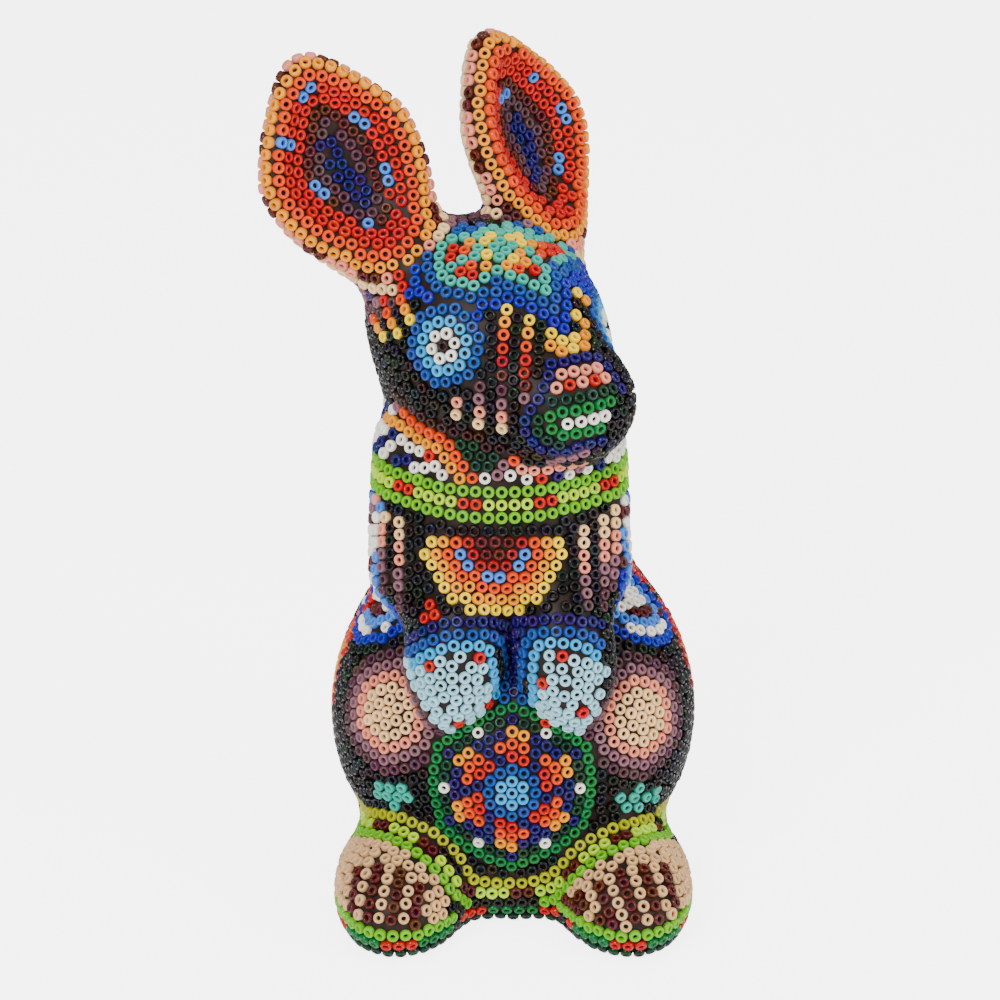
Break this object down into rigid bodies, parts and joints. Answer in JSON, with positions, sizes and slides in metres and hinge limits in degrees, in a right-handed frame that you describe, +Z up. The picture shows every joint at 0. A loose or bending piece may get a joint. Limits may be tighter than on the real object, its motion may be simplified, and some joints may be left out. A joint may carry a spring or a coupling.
{
  "type": "seated beaded rabbit figure",
  "caption": "Seated rabbit figure, carved in wood and covered all over with small glass beads set in beeswax, with tall hollow-faced ears and its head turned to its left.",
  "frame": {"origin": "centre of the bounding box's base, on the surface the figure sits on", "axes": "+Z up, along the longest side; the chest faces -Y; the figure's own left side is +X"},
  "size_m": [0.0714, 0.072, 0.1423],
  "materials": {
    "beads_arm_left": "gloss",
    "beads_arm_right": "gloss",
    "beads_back_lower": "gloss",
    "beads_back_upper": "gloss",
    "beads_base_border": "gloss",
    "beads_belly_medallion": "gloss",
    "beads_cheek_left": "gloss",
    "beads_cheek_right": "gloss",
    "beads_chest": "gloss",
    "beads_collar": "gloss",
    "beads_crown": "gloss",
    "beads_ear_inner_left": "gloss",
    "beads_ear_inner_right": "gloss",
    "beads_ear_outer_left": "gloss",
    "beads_ear_outer_right": "gloss",
    "beads_eye_left": "gloss",
    "beads_eye_right": "gloss",
    "beads_flank_left": "gloss",
    "beads_flank_right": "gloss",
    "beads_foot_border": "gloss",
    "beads_foot_left": "gloss",
    "beads_foot_right": "gloss",
    "beads_haunch_left": "gloss",
    "beads_haunch_right": "gloss",
    "beads_muzzle": "gloss",
    "beads_nape": "gloss",
    "beads_neck_band": "gloss",
    "beads_nose_bridge": "gloss",
    "beads_paw_left": "gloss",
    "beads_paw_right": "gloss",
    "beads_side_left": "gloss",
    "beads_side_right": "gloss",
    "beads_tail": "gloss",
    "beeswax": "satin",
    "carved_wood": "matte"
  },
  "bodies": {
    "root": {"beads_arm_left": "beads_arm_left", "beads_arm_right": "beads_arm_right", "beads_back_lower": "beads_back_lower", "beads_back_upper": "beads_back_upper", "beads_base_border": "beads_base_border", "beads_belly_medallion": "beads_belly_medallion", "beads_cheek_left": "beads_cheek_left", "beads_cheek_right": "beads_cheek_right", "beads_chest": "beads_chest", "beads_collar": "beads_collar", "beads_crown": "beads_crown", "beads_ear_inner_left": "beads_ear_inner_left", "beads_ear_inner_right": "beads_ear_inner_right", "beads_ear_outer_left": "beads_ear_outer_left", "beads_ear_outer_right": "beads_ear_outer_right", "beads_eye_left": "beads_eye_left", "beads_eye_right": "beads_eye_right", "beads_flank_left": "beads_flank_left", "beads_flank_right": "beads_flank_right", "beads_foot_border": "beads_foot_border", "beads_foot_left": "beads_foot_left", "beads_foot_right": "beads_foot_right", "beads_haunch_left": "beads_haunch_left", "beads_haunch_right": "beads_haunch_right", "beads_muzzle": "beads_muzzle", "beads_nape": "beads_nape", "beads_neck_band": "beads_neck_band", "beads_nose_bridge": "beads_nose_bridge", "beads_paw_left": "beads_paw_left", "beads_paw_right": "beads_paw_right", "beads_side_left": "beads_side_left", "beads_side_right": "beads_side_right", "beads_tail": "beads_tail", "wax_body": "beeswax", "wax_head": "beeswax", "wax_ear_left": "beeswax", "wax_ear_right": "beeswax", "wood_body": "carved_wood", "wood_ear_left": "carved_wood", "wood_ear_right": "carved_wood"}
  },
  "joints": []
}
